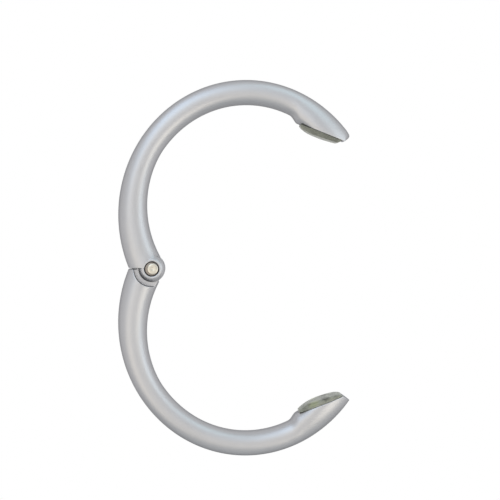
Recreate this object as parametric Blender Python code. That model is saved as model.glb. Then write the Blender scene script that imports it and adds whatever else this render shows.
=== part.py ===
"""Ring-type purse hook, standing open on its stop.

Two half-ring arms turn on one hinge pin. Each ends in a wedge head whose oblique seat carries a non-slip pad.
The upper pad lies on a table's edge and the bag's strap hangs in the lower arm. A torsion spring in the hinge
shuts the ring.

World frame: metres, +Z up, the ring in the XZ plane. The origin is the middle of the upper pad's face.
Arm frame: each arm is drawn as it lies when the ring is shut, with the hinge pin along Y through the origin, the
closing plane at z = 0 and the tip towards +X. The lower arm is the upper one's mirror image below that plane.
"""

import bmesh
import bpy
from math import asin, atan, ceil, copysign, cos, floor, hypot, pi, radians, sin, sqrt
from mathutils import Matrix, Vector

# Arms: the arc that they follow. The pin lies at its inset from the outer line, a little above the arc's centre
RING_RADIUS = 0.0360
PIN_INSET = 0.00603
CENTRE_DROP = 0.00105
OVAL = 0.00033
HINGE_RISE = 0.00118
OVAL_LOW = radians(125)
OVAL_HIGH = radians(60)
HINGE_TOP = radians(175)

# Arms: their section, thickness in the ring's plane and depth along the pin
ARM_THICKNESS = 0.0070
HINGE_THICKNESS = 0.0094
ARM_DEPTH = 0.0080
HEAD_DEPTH = 0.0100
TAPER_END = radians(112)
TAPER_POWER = 1.35
ARM_POWER = 2.25
HEAD_POWER = 3.0

# Heads: a small flat at the tip, then the pad's seat up to the lip, behind which the arm narrows
TIP_FACET = 0.0022
SEAT_END = 0.0017
LIP_RISE = 0.0011
LIP_BLEND = 0.0038
LIP_CUT_SHARE = 0.68
FLARE_LENGTH = 0.0060
WIDEST_SHARE = 0.492
NOSE_SHARE = 1.25
NOSE_END_SHARE = 0.9
CLOSED_GAP = 0.0003

# How far each arm stands off the closing plane on the open stop
OPEN_HALF_ANGLE = radians(33.5)
STOP_GAP = 0.0003

# Hinge pin, and the counterbores that its heads lie in
PIN_RADIUS = 0.0011
PIN_CLEARANCE = 0.0003
PIN_HEAD_LIP = 0.0006
PIN_HEAD_THICKNESS = 0.00045
PIN_HEAD_CROWN = 0.00015
PIN_HEAD_SUNK = 0.0001
SINK_CLEARANCE = 0.00035

# Ears of the upper arm, and the boss on them
EAR_THICKNESS = 0.0020
BOSS_WALL = 0.00173
BOSS_SET_IN = 0.0001
RIM_EDGE = 0.00035
RIM_ROLL = 0.0012
INNER_CORNER_UPPER = radians(51)

# Tongue of the lower arm, between the ears
CHEEK = 0.00064
FORK_CLEARANCE = 0.0003
FORK_MARGIN = 0.00002
LUG_RISE = 0.0007
LUG_MARGIN = radians(8)
BAND_WIDTH = 0.00132
GROOVE_WIDTH = 0.00025
GROOVE_DEPTH = 0.0002
INNER_CORNER_LOWER = radians(58)

# Torsion spring
WIRE_DIAMETER = 0.0005
COIL_GAP = 0.0002
COIL_TURNS = 3
COIL_CLEARANCE = 0.0003
LEG_BITE = 0.0015
LEG_ANGLE = radians(86.5)
LEG_CLEARANCE = 0.00025

# Pads
PAD_LENGTH = 0.0126
PAD_RISE = 0.0015
PAD_SIDE_INSET = 0.0005
PAD_SEAT_GAP = 0.0003
PAD_EDGE = 0.0005
PAD_SETBACK = 0.0007
PEG_RADIUS = 0.0008
PEG_LENGTH = 0.0012
PEG_CLEARANCE = 0.0003
PEG_WEB = 0.00055
PEG_MARGIN = 0.0018

# How far a cutter runs past what it cuts
OVERRUN = 0.0015

# Fineness of the mesh
SECTION_POINTS = 24
BODY_STEP = radians(5)
HEAD_STEP = radians(2)
ROUND_POINTS = 40
HOLE_POINTS = 24
PEG_POINTS = 16
PAD_POINTS = 40
PAD_EDGE_STEPS = 3
WIRE_POINTS = 8
COIL_POINTS = 24
RIM_STEPS = 5
SHARP_EDGE = radians(35)
HALVINGS = 40


def outer_radius(angle):
    """Distance from the arc's centre to the arm's outer line, at an angle round that centre."""
    if angle > OVAL_LOW:
        run = (angle - OVAL_LOW) / (HINGE_TOP - OVAL_LOW)
        return RING_RADIUS - OVAL + HINGE_RISE * run ** 2
    wave = pi * (angle - OVAL_HIGH) / (OVAL_LOW - OVAL_HIGH)
    return RING_RADIUS + OVAL * cos(wave)


def centre_reach():
    """From the pin to the arc's centre, along the closing plane."""
    return outer_radius(pi) - PIN_INSET


def smooth(share):
    """A smooth rise from 0 to 1, level outside them."""
    share = min(max(share, 0), 1)
    return share * share * (3 - 2 * share)


def eased(value, start, end):
    return smooth((value - start) / (end - start))


def hinge_share(angle):
    """1 at the hinge, falling to 0 where the arm's slender part begins."""
    return max((angle - TAPER_END) / (HINGE_TOP - TAPER_END), 0) ** TAPER_POWER


def arm_thickness(angle):
    swell = (HINGE_THICKNESS - ARM_THICKNESS) * hinge_share(angle)
    blend = LIP_BLEND / RING_RADIUS
    lip_from = lip_angle() + LIP_CUT_SHARE * blend
    return ARM_THICKNESS + swell + LIP_RISE * eased(angle, lip_from, lip_from - blend)


def flare_share(angle):
    """0 on the arm's slender part, rising to 1 where the head is deepest."""
    return eased(angle, lip_angle() + FLARE_LENGTH / RING_RADIUS, WIDEST_SHARE * lip_angle())


def nose_reach():
    """The angle from where the head is deepest to where its rounded nose would close."""
    return NOSE_SHARE * WIDEST_SHARE * lip_angle()


def arm_depth(angle):
    swell = (2 * hinge_half() - ARM_DEPTH) * hinge_share(angle)
    flare = (HEAD_DEPTH - ARM_DEPTH) * flare_share(angle)
    nose = max(WIDEST_SHARE * lip_angle() - angle, 0) / nose_reach()
    return (ARM_DEPTH + swell + flare) * sqrt(1 - nose ** 2)


def arm_power(angle):
    """Exponent of the section's superellipse: the head is boxier than the arm."""
    return ARM_POWER + (HEAD_POWER - ARM_POWER) * flare_share(angle)


def signed_power(value, power):
    return copysign(abs(value) ** power, value)


def superellipse(half_width, half_height, power, count):
    """Points of a rounded section, as (across, along) pairs."""
    points = []
    for i in range(count):
        turn = 2 * pi * i / count
        across = half_width * signed_power(cos(turn), 2 / power)
        points.append((across, half_height * signed_power(sin(turn), 2 / power)))
    return points


def on_arm(radius, angle):
    """A point at a radius and an angle round the arc's centre, in the arm frame's XZ plane."""
    return centre_reach() + radius * cos(angle), -CENTRE_DROP + radius * sin(angle)


def arm_ring(angle):
    """The arm's section at an angle round the arc's centre."""
    half = arm_thickness(angle) / 2
    middle = outer_radius(angle) - half
    ring = []
    for across, along in superellipse(half, arm_depth(angle) / 2, arm_power(angle), SECTION_POINTS):
        x, z = on_arm(middle + across, angle)
        ring.append((x, along, z))
    return ring


def facet_corner():
    """Where the pad's seat meets the small flat at the tip, in the arm frame's XZ plane."""
    height = CLOSED_GAP / 2
    lift = CENTRE_DROP + height
    tip_radius = outer_radius(asin(lift / RING_RADIUS))
    tip = centre_reach() + sqrt(tip_radius ** 2 - lift ** 2)
    return tip - TIP_FACET, height


def seat_length():
    return PAD_SETBACK + PAD_LENGTH + SEAT_END


def lip_corner(angle):
    """The lip's corner, if the seat were to leave the arm's inner line at that angle."""
    return on_arm(outer_radius(angle) - ARM_THICKNESS - LIP_RISE * smooth(LIP_CUT_SHARE), angle)


def lip_angle():
    """The angle round the arc's centre at which the seat, at its length, reaches the arm's inner line."""
    x, z = facet_corner()
    low, high = 0, pi / 2
    for _ in range(HALVINGS):
        middle = (low + high) / 2
        lip_x, lip_z = lip_corner(middle)
        if hypot(lip_x - x, lip_z - z) < seat_length():
            low = middle
        else:
            high = middle
    return low


def seat_frame(distance):
    """The seat's own frame at a distance from the facet corner: x up the seat, z out towards the pad's face."""
    x, z = facet_corner()
    lip_x, lip_z = lip_corner(lip_angle())
    up = Vector((lip_x - x, 0, lip_z - z)).normalized()
    out = Vector((-up.z, 0, up.x))
    frame = Matrix((up, out.cross(up), out)).transposed().to_4x4()
    frame.translation = Vector((x, 0, z)) + up * distance
    return frame


def pad_frame():
    return seat_frame(PAD_SETBACK + PAD_LENGTH / 2)


def pin_place():
    """The hinge pin's place in the world, with the upper pad's face centre at the origin."""
    face = pad_frame() @ Vector((0, 0, PAD_RISE))
    return -(arm_turn(1) @ face)


def arm_turn(side):
    """Turns an arm from the closing plane to the open stop: side is 1 for the upper arm and -1 for the lower."""
    return Matrix.Rotation(-side * OPEN_HALF_ANGLE, 4, "Y")


def clear_scene():
    for old in list(bpy.data.objects):
        bpy.data.objects.remove(old, do_unlink=True)


def make_material(name, colour, roughness, metallic, transmission=0):
    material = bpy.data.materials.new(name)
    material.use_nodes = True
    shader = material.node_tree.nodes["Principled BSDF"]
    shader.inputs["Base Color"].default_value = (*colour, 1)
    shader.inputs["Roughness"].default_value = roughness
    shader.inputs["Metallic"].default_value = metallic
    shader.inputs["Transmission Weight"].default_value = transmission
    return material


def make_arm_frame(name, side):
    """An empty on the hinge's axis, turned to the open stop. What an arm carries is its child."""
    empty = bpy.data.objects.new(name, None)
    empty.matrix_world = Matrix.Translation(pin_place()) @ arm_turn(side)
    bpy.context.scene.collection.objects.link(empty)
    return empty


def make_object(name, bm, parent, side, material=None):
    """An object from a mesh drawn in the arm frame, mirrored for the lower side. No material makes it a tool."""
    bmesh.ops.scale(bm, vec=(1, 1, side), verts=bm.verts)
    bmesh.ops.recalc_face_normals(bm, faces=bm.faces)
    mesh = bpy.data.meshes.new(name)
    bm.to_mesh(mesh)
    bm.free()
    mesh.shade_smooth()
    mesh.set_sharp_from_angle(angle=SHARP_EDGE)
    made = bpy.data.objects.new(name, mesh)
    made.parent = parent
    bpy.context.scene.collection.objects.link(made)
    if material:
        mesh.materials.append(material)
    else:
        made.hide_render = True
        made.display_type = "WIRE"
    return made


def use_tool(piece, operation, tool):
    step = piece.modifiers.new(tool.name, "BOOLEAN")
    step.operation = operation
    step.object = tool
    step.solver = "EXACT"


def loft(rings, bm=None):
    """A closed body through rings of points, with a flat cap on each end."""
    bm = bm or bmesh.new()
    rows = [[bm.verts.new(point) for point in ring] for ring in rings]
    for low, high in zip(rows, rows[1:]):
        for i in range(len(low)):
            j = (i + 1) % len(low)
            bm.faces.new((low[i], low[j], high[j], high[i]))
    bm.faces.new(rows[0])
    bm.faces.new(rows[-1])
    return bm


def prism(outline, front, back):
    """An outline in the XZ plane, run along Y from front to back."""
    return loft([[(x, y, z) for x, z in outline] for y in (front, back)])


def turned(profile, count, bm=None):
    """A profile of (radius, y) points turned round the hinge's axis."""
    rings = []
    for radius, y in profile:
        turns = [2 * pi * i / count for i in range(count)]
        rings.append([(radius * cos(turn), y, radius * sin(turn)) for turn in turns])
    return loft(rings, bm)


def arc_points(radius, start, end, centre=(0, 0)):
    """Points along an arc in the XZ plane, about as close as those of a round piece."""
    count = max(ceil(abs(end - start) * ROUND_POINTS / (2 * pi)), 1)
    turns = [start + (end - start) * i / count for i in range(count + 1)]
    return [(centre[0] + radius * cos(turn), centre[1] + radius * sin(turn)) for turn in turns]


def fan(radius, start, end, front, back, apex=(0, 0)):
    """A sector of a disc, from its apex out to a radius."""
    return prism([apex] + arc_points(radius, start, end, apex), front, back)


def arm_body():
    """The whole bar of an arm, from past the hinge to past the tip, before anything is cut."""
    rings = []
    last = WIDEST_SHARE * lip_angle() - NOSE_END_SHARE * nose_reach()
    angle = pi + HINGE_THICKNESS / (2 * RING_RADIUS)
    while flare_share(angle) == 0:
        rings.append(arm_ring(angle))
        angle -= BODY_STEP
    while angle > last:
        rings.append(arm_ring(angle))
        angle -= HEAD_STEP
    rings.append(arm_ring(last))
    return loft(rings)


def end_cutter(keep_from):
    """Takes off the bar past the hinge, from the shoulder that is the open stop round to the inner corner."""
    shoulder = pi - OPEN_HALF_ANGLE
    apex = (STOP_GAP / 2 * sin(OPEN_HALF_ANGLE), STOP_GAP / 2 * cos(OPEN_HALF_ANGLE))
    end = 2 * pi + keep_from - OPEN_HALF_ANGLE
    half = hinge_half() + OVERRUN
    return fan(HINGE_THICKNESS + 2 * OVERRUN, shoulder, end, -half, half, apex)


def head_cutter():
    """Takes off what lies inside the pad's seat and past the closing plane."""
    half = HEAD_DEPTH / 2 + OVERRUN
    x, z = facet_corner()
    frame = seat_frame(seat_length() + 2 * OVERRUN)
    top = frame.translation
    deep = ARM_THICKNESS + LIP_RISE + OVERRUN
    inside = frame @ Vector((0, 0, deep))
    far = x + TIP_FACET + OVERRUN
    low = -deep
    outline = [(x, z), (top.x, top.z), (inside.x, inside.z), (inside.x, low), (far, low), (far, z)]
    return prism(outline, -half, half)


def peg_cutter():
    """Blind sockets for the pad's pegs."""
    return pegs(PEG_RADIUS + PEG_CLEARANCE, -PEG_LENGTH - PEG_CLEARANCE, OVERRUN)


def pegs(radius, low, high):
    """A row of round pegs along the seat, as many as the pad has room for, from one height to another."""
    bm = bmesh.new()
    middle = PAD_SETBACK + PAD_LENGTH / 2
    pitch = 2 * (PEG_RADIUS + PEG_CLEARANCE) + PEG_WEB
    gaps = floor((PAD_LENGTH - 2 * PEG_MARGIN) / pitch)
    for i in range(gaps + 1):
        frame = seat_frame(middle + (i - gaps / 2) * pitch)
        turns = [2 * pi * k / PEG_POINTS for k in range(PEG_POINTS)]
        ring = [(radius * cos(turn), radius * sin(turn)) for turn in turns]
        loft([[frame @ Vector((x, y, height)) for x, y in ring] for height in (low, high)], bm)
    return bm


def leg_cutter(side, near, far):
    """A square socket for one leg of the spring, from near to far along the leg."""
    half = WIRE_DIAMETER / 2 + LEG_CLEARANCE
    along = Vector((cos(LEG_ANGLE), sin(LEG_ANGLE)))
    across = Vector((sin(LEG_ANGLE), -cos(LEG_ANGLE)))
    corners = []
    for distance, offset in ((near, -half), (far, -half), (far, half), (near, half)):
        corners.append(tuple(along * distance + across * (coil_radius() + offset)))
    middle = side * coil_reach()
    return prism(corners, middle - half, middle + half)


def coil_radius():
    """Radius of the coil's wire centre line."""
    return PIN_RADIUS + COIL_CLEARANCE + WIRE_DIAMETER / 2


def coil_turn():
    """How far the wire winds between its two legs, on the open stop."""
    leg = OPEN_HALF_ANGLE + LEG_ANGLE
    return 2 * (leg - pi / 2) + 2 * pi * COIL_TURNS


def coil_reach():
    """From the middle of the coil to the centre line of its last turn, along the pin."""
    return (WIRE_DIAMETER + COIL_GAP) * coil_turn() / (4 * pi)


def leg_length():
    """Long enough to bite into the arm past the fork's gap."""
    return lug_radius() + FORK_CLEARANCE + LEG_BITE


def pocket_half():
    return coil_reach() + WIRE_DIAMETER / 2 + COIL_CLEARANCE


def pocket_radius():
    return coil_radius() + WIRE_DIAMETER / 2 + COIL_CLEARANCE


def tongue_half():
    return pocket_half() + CHEEK


def fork_half():
    return tongue_half() + FORK_CLEARANCE


def hinge_half():
    """Half the arms' depth at the hinge: an ear past the fork's gap."""
    return fork_half() + EAR_THICKNESS


def boss_half():
    return hinge_half() - BOSS_SET_IN


def sink_floor():
    """How far from the ring's plane the counterbore's floor lies."""
    return boss_half() - PIN_HEAD_SUNK - PIN_HEAD_CROWN - PIN_HEAD_THICKNESS - PIN_CLEARANCE


def pin_head_radius():
    return PIN_RADIUS + PIN_HEAD_LIP


def sink_radius():
    return pin_head_radius() + SINK_CLEARANCE


def boss_radius():
    return sink_radius() + BOSS_WALL


def fork_radius():
    """The gap between the ears just clears the boss, so that no web is left between them."""
    return boss_radius() + FORK_MARGIN


def tongue_radius():
    return fork_radius() - FORK_CLEARANCE


def lug_radius():
    return tongue_radius() + LUG_RISE


def boss_body():
    """The round boss of the ears, with a rolled rim on each face that falls away from the counterbore."""
    crest = sink_radius() + RIM_EDGE
    face = boss_half()
    half_turn = (crest - RIM_EDGE * cos(pi / 4), face - RIM_EDGE * (1 - sin(pi / 4)))
    rim = [(sink_radius(), face - RIM_EDGE), half_turn]
    for i in range(RIM_STEPS + 1):
        turn = pi / 2 * i / RIM_STEPS
        rim.append((crest + (boss_radius() - crest) * sin(turn), face - RIM_ROLL * (1 - cos(turn))))
    return turned(both_faces(rim), ROUND_POINTS)


def both_faces(half):
    """A turned profile from its front half, mirrored through the ring's plane."""
    return [(radius, -y) for radius, y in half] + [(radius, y) for radius, y in reversed(half)]


def pin_hole_cutter():
    """The pin's hole through both ears, with a counterbore for the head in each."""
    hole = PIN_RADIUS + PIN_CLEARANCE
    half = [(sink_radius(), hinge_half() + OVERRUN), (sink_radius(), sink_floor()), (hole, sink_floor())]
    return turned(both_faces(half), HOLE_POINTS)


def build_upper_arm(frame, metal):
    arm = make_object("upper_arm", arm_body(), frame, 1, metal)
    use_tool(arm, "DIFFERENCE", make_object("cut_upper_end", end_cutter(INNER_CORNER_UPPER), frame, 1))
    use_tool(arm, "UNION", make_object("add_ears", boss_body(), frame, 1))
    use_tool(arm, "DIFFERENCE", make_object("cut_fork", fork_cutter(), frame, 1))
    use_tool(arm, "DIFFERENCE", make_object("cut_upper_pin_hole", pin_hole_cutter(), frame, 1))
    socket = leg_cutter(1, tongue_radius() - OVERRUN, leg_length() + LEG_CLEARANCE)
    use_tool(arm, "DIFFERENCE", make_object("cut_upper_leg_socket", socket, frame, 1))
    use_tool(arm, "DIFFERENCE", make_object("cut_upper_seat", head_cutter(), frame, 1))
    use_tool(arm, "DIFFERENCE", make_object("cut_upper_pegs", peg_cutter(), frame, 1))
    return arm


def lugged_disc(clearance, start, end):
    """A disc round the pin with a lug from start to end, grown all round by a clearance."""
    outline = arc_points(lug_radius() + clearance, start, end)
    return outline + arc_points(tongue_radius() + clearance, end, start + 2 * pi)


def fork_cutter():
    """The gap between the ears, where the tongue and its lug turn."""
    shoulder = pi - OPEN_HALF_ANGLE
    start = shoulder - 2 * OPEN_HALF_ANGLE - 2 * LUG_MARGIN
    return prism(lugged_disc(FORK_CLEARANCE, start, shoulder + LUG_MARGIN), -fork_half(), fork_half())


def tongue_body():
    """The tongue's blank: a disc round the pin, with a lug that fills the outer notch when the ring is shut."""
    shoulder = pi + OPEN_HALF_ANGLE
    half = tongue_half() + GROOVE_DEPTH
    lug_to = shoulder + LUG_MARGIN
    return prism(lugged_disc(0, pi - OPEN_HALF_ANGLE - LUG_MARGIN, lug_to), -half, half)


def recess_cutter():
    """Faces the tongue down on both sides, with a fine groove at the foot of the arc step."""
    far = hinge_half() + OVERRUN
    near = tongue_half()
    recess = boss_radius() + BAND_WIDTH
    groove = recess - GROOVE_WIDTH
    bm = bmesh.new()
    for face in (-1, 1):
        deep = near - GROOVE_DEPTH
        profile = [(groove, near), (groove, deep), (recess, deep), (recess, far)]
        turned([(radius, face * y) for radius, y in profile], ROUND_POINTS, bm)
    return bm


def mouth_cutter():
    """Opens the spring's pocket to the side where the upper leg swings."""
    wire_angle = atan((WIRE_DIAMETER + COIL_CLEARANCE) / coil_radius())
    start = -(LEG_ANGLE + 2 * OPEN_HALF_ANGLE)
    end = pi / 2 - LEG_ANGLE + wire_angle
    return fan(lug_radius() + OVERRUN, start, end, -pocket_half(), pocket_half())


def build_lower_arm(frame, metal):
    arm = make_object("lower_arm", arm_body(), frame, -1, metal)
    use_tool(arm, "DIFFERENCE", make_object("cut_lower_end", end_cutter(INNER_CORNER_LOWER), frame, -1))
    use_tool(arm, "UNION", make_object("add_tongue", tongue_body(), frame, -1))
    use_tool(arm, "DIFFERENCE", make_object("cut_recess", recess_cutter(), frame, -1))
    hole = PIN_RADIUS + PIN_CLEARANCE
    far = tongue_half() + OVERRUN
    through = turned([(hole, -far), (hole, far)], HOLE_POINTS)
    use_tool(arm, "DIFFERENCE", make_object("cut_lower_pin_hole", through, frame, -1))
    pocket = turned([(pocket_radius(), -pocket_half()), (pocket_radius(), pocket_half())], ROUND_POINTS)
    use_tool(arm, "DIFFERENCE", make_object("cut_pocket", pocket, frame, -1))
    use_tool(arm, "DIFFERENCE", make_object("cut_mouth", mouth_cutter(), frame, -1))
    socket = leg_cutter(-1, coil_radius() / 2, leg_length() + LEG_CLEARANCE)
    use_tool(arm, "DIFFERENCE", make_object("cut_lower_leg_socket", socket, frame, -1))
    use_tool(arm, "DIFFERENCE", make_object("cut_lower_seat", head_cutter(), frame, -1))
    use_tool(arm, "DIFFERENCE", make_object("cut_lower_pegs", peg_cutter(), frame, -1))
    return arm


def build_pin(frame, steel):
    """A plain shank with a low crowned head in each counterbore."""
    radius = pin_head_radius()
    under = sink_floor() + PIN_CLEARANCE
    edge = under + PIN_HEAD_THICKNESS
    crown = edge + PIN_HEAD_CROWN
    half = [(radius / 2, crown), (radius - PIN_HEAD_CROWN, edge + PIN_HEAD_CROWN / 2), (radius, edge),
            (radius, under), (PIN_RADIUS, under)]
    return make_object("hinge_pin", turned(both_faces(half), HOLE_POINTS), frame, 1, steel)


def spring_path():
    """The wire's centre line on the open stop, from the upper leg's end to the lower leg's end, about the pin."""
    leg = OPEN_HALF_ANGLE + LEG_ANGLE
    radius = coil_radius()
    start = leg - pi / 2
    steps = ceil(COIL_POINTS * coil_turn() / (2 * pi))
    coil = []
    for i in range(steps + 1):
        turn = start - coil_turn() * i / steps
        y = coil_reach() * (1 - 2 * i / steps)
        coil.append(Vector((radius * cos(turn), y, radius * sin(turn))))
    upper = coil[0] + Vector((cos(leg), 0, sin(leg))) * leg_length()
    lower = coil[-1] + Vector((cos(leg), 0, -sin(leg))) * leg_length()
    return [upper] + coil + [lower]


def tube(path, radius, count):
    """A round wire along a path, with its section kept square to the path."""
    rings = []
    across = Vector((0, 1, 0))
    for i, point in enumerate(path):
        before = path[max(i - 1, 0)]
        after = path[min(i + 1, len(path) - 1)]
        along = (after - before).normalized()
        side = along.cross(across).normalized()
        up = side.cross(along)
        turns = [2 * pi * k / count for k in range(count)]
        rings.append([point + side * (radius * cos(turn)) + up * (radius * sin(turn)) for turn in turns])
    return loft(rings)


def build_spring(steel):
    """Three turns and a bit round the pin, with one leg in each arm."""
    body = tube(spring_path(), WIRE_DIAMETER / 2, WIRE_POINTS)
    spring = make_object("torsion_spring", body, None, 1, steel)
    spring.location = pin_place()
    return spring


def build_pad(name, frame, side, rubber):
    """An oval pad with a rounded edge, held by pegs moulded on its back."""
    place = pad_frame()
    edge = [(0, PAD_SEAT_GAP), (0, PAD_RISE - PAD_EDGE)]
    for i in range(1, PAD_EDGE_STEPS + 1):
        turn = pi / 2 * i / PAD_EDGE_STEPS
        edge.append((PAD_EDGE * (1 - cos(turn)), PAD_RISE - PAD_EDGE * (1 - sin(turn))))
    rings = []
    for inset, height in edge:
        half_width = HEAD_DEPTH / 2 - PAD_SIDE_INSET - inset
        oval = superellipse(PAD_LENGTH / 2 - inset, half_width, 2, PAD_POINTS)
        rings.append([place @ Vector((x, y, height)) for x, y in oval])
    pad = make_object(name, loft(rings), frame, side, rubber)
    back = pegs(PEG_RADIUS, -PEG_LENGTH, PAD_RISE / 2)
    use_tool(pad, "UNION", make_object("add_pegs_" + name, back, frame, side))
    return pad


def build_hook():
    clear_scene()
    metal = make_material("satin_zinc", (0.62, 0.63, 0.66), 0.32, 1.0)
    steel = make_material("polished_steel", (0.66, 0.63, 0.57), 0.2, 1.0)
    wire = make_material("spring_steel", (0.45, 0.45, 0.46), 0.3, 1.0)
    rubber = make_material("clear_polyurethane", (0.36, 0.38, 0.26), 0.35, 0.0, 0.5)
    upper_frame = make_arm_frame("upper_frame", 1)
    lower_frame = make_arm_frame("lower_frame", -1)
    build_upper_arm(upper_frame, metal)
    build_lower_arm(lower_frame, metal)
    build_pin(upper_frame, steel)
    build_spring(wire)
    build_pad("upper_pad", upper_frame, 1, rubber)
    build_pad("lower_pad", lower_frame, -1, rubber)
    bpy.context.view_layer.update()


build_hook()
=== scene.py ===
from math import asin, atan, ceil, copysign, cos, floor, hypot, pi, radians, sin, sqrt

import bmesh
import bpy
import numpy as np
from mathutils import Matrix, Vector
from mathutils.kdtree import KDTree


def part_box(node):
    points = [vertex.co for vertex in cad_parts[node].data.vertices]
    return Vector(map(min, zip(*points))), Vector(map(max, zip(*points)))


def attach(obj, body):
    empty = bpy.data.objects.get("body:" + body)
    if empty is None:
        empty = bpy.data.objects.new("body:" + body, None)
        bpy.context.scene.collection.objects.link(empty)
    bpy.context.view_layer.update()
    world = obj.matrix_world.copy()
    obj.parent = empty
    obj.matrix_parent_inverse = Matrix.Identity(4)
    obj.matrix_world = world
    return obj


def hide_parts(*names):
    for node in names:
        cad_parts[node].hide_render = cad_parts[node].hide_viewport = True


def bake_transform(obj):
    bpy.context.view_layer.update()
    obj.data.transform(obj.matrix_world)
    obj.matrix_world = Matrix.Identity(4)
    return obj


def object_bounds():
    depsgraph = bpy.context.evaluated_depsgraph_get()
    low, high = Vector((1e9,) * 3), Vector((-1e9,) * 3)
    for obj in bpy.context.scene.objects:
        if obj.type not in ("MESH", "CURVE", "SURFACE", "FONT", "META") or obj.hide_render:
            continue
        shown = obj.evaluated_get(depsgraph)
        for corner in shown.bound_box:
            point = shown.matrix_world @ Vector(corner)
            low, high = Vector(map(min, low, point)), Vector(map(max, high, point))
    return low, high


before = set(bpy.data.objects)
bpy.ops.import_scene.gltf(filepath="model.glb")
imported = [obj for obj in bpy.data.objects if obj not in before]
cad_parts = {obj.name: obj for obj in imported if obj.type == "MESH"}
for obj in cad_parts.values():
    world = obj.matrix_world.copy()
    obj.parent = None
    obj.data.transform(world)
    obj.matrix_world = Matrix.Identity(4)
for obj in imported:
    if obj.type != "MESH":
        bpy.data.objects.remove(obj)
cadBox = [list(corner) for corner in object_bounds()]
pinLow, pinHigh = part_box("hinge_pin")
pinPlace = (pinLow + pinHigh) / 2
print("frame loaded, hinge pin at", [round(v, 5) for v in pinPlace])

# The arms: sizes in metres, drawn with the ring shut, the pin at the origin and the tip towards +X
arm = {
    "ringRadius": 0.0360,  # outer line's arc
    "pinInset": 0.00603,
    "centreDrop": 0.00105,
    "oval": 0.00033,  # how far the outer line wanders off a true circle
    "ovalLow": radians(125),
    "ovalHigh": radians(60),
    "hingeRise": 0.00118,
    "hingeTop": radians(175),
    "thickness": 0.0070,  # in the ring's plane
    "hingeThickness": 0.0094,
    "depth": 0.0080,  # along the pin
    "headDepth": 0.0100,
    "taperEnd": radians(112),
    "taperPower": 1.35,
    "sectionPower": 2.15,
    "headPower": 2.2,
    "crestShift": 0.28,  # how far a head's fullest line lies inwards of its middle, as a share
    "tipFacet": 0.0022,
    "seatEnd": 0.0017,
    "seatLift": 0.0003,  # metal left on the seat
    "lipRise": 0.0011,
    "lipBlend": 0.0038,
    "lipCutShare": 0.68,
    "flareLength": 0.0060,
    "widestShare": 0.492,
    "noseShare": 1.6,
    "noseEndShare": 0.9,
    "closedGap": 0.0003,
    "openHalfAngle": radians(33.5),
    "stopGap": 0.0003,
    "tipBlend": 0.0024,  # reach of the soft round at the very tip
    "tipBlendFullShare": 0.2,  # the share of that reach in which it works in full
    "tipBlendRounds": (420, 4),  # upper arm, lower arm
}

# The hinge: ears and boss on the upper arm, tongue on the lower
hinge = {
    "pinRadius": 0.0011,
    "pinClearance": 0.0003,
    "earThickness": 0.0020,
    "bossWall": 0.00168,
    "bossSetIn": 0.0001,
    "rimEdge": 0.00035,
    "rimRoll": 0.0019,
    "rollPower": 1.5,  # 2 is an even roll, lower is closer to a cone
    "sinkClearance": 0.00035,
    "innerCornerUpper": radians(51),
    "innerCornerLower": radians(58),
    "cheek": 0.00064,
    "forkClearance": 0.0003,
    "forkMargin": 0.00002,
    "lugRise": 0.0007,
    "lugMargin": radians(8),
    "bandWidth": 0.00132,
    "grooveWidth": 0.00017,
    "grooveDepth": 0.00017,
    "bossBlend": 0.0025,  # reach of the soft round where the boss runs into its arm
    "bossBlendRounds": 300,
    # Where it sets in and where it works in full, as shares of its reach
    "bossRadiusShares": (1.6, 0.3),  # off the boss's radius
    "bossRimShares": (0.2, 0.8),  # outwards from the counterbore
    "bossEarShares": (0.05, 0.4),  # outwards from the fork
    "bossTurns": (0.3, 0.35),  # how far round it sets in, in radians, at the inner corner and the stop
}

pin = {
    "headLip": 0.0006,
    "headThickness": 0.00045,
    "headCrown": 0.00015,
    "headSunk": 0.0001,
    "edgeRound": 0.00012,
    "spread": 0.00013,  # how far riveting has spread the head past its nominal size
    "buttonRadius": 0.00152,  # raised middle of the head, struck a little off centre
    "buttonShift": 0.00030,
    "buttonStep": 0.00020,
    "buttonShares": ((0.6, 0.0), (0.78, 0.01), (0.90, 0.04), (0.97, 0.09)),  # how far out and how far down
    "markRadius": 0.00020,  # small dimple that the rivet tool leaves
    "markDepth": 0.00008,
    "markShares": ((0.2, 1.0), (0.7, 0.7), (1.3, 0.0)),  # of its radius and of its depth
    "capShare": 0.1,
    "brightFrom": 0.7,  # share of the button's step that is rubbed bright
    "bright": 1.2,  # sharpness written on the button and on the step round it, in 1/mm
    # The step and rim round the button count as a deep crevice, so they take the dark film: painted shade
    "dark": -3.0,
    "points": 96,
}

spring = {
    "wire": 0.0005,
    "coilGap": 0.0002,
    "turns": 3,
    "coilClearance": 0.0003,
    "legBite": 0.0015,
    "legAngle": radians(86.5),
    "legClearance": 0.00025,
    "wirePoints": 16,
    "turnPoints": 60,
}

pad = {
    "length": 0.0126,
    "rise": 0.00178,
    "crownFrom": 0.0048,  # from the lip's end, where the face stands highest
    "crownReach": 0.0076,
    "crownFall": 0.00055,  # how far it falls over that reach, towards the tip
    "sideInset": 0.00014,
    "seatGap": 0.00006,
    "setback": 0.0007,
    "tipGap": 0.00012,  # from the plane in which the two shut arms meet
    "swell": 0.0007,  # past the arm's inner line, at the lip
    "lipRound": (0.0038, 0.0013),  # along the seat and up, where the lip's end rounds over
    "tipRound": ((0.0008, 0.0004), (0.0022, 0.0008)),  # the same at the tip's end, upper and lower pad
    "tipInset": (0.0008, 0.0),  # bare seat left there, on the upper and on the lower head
    "edgeBlend": (0.00060, 0.00110),  # heights above the seat between which the rounding sets in
    "edgeBlendRounds": 45,
    "pegRadius": 0.0008,
    "pegLength": 0.0012,
    "pegClearance": 0.0003,
    "pegWeb": 0.00055,
    "pegMargin": 0.0018,
}

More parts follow.
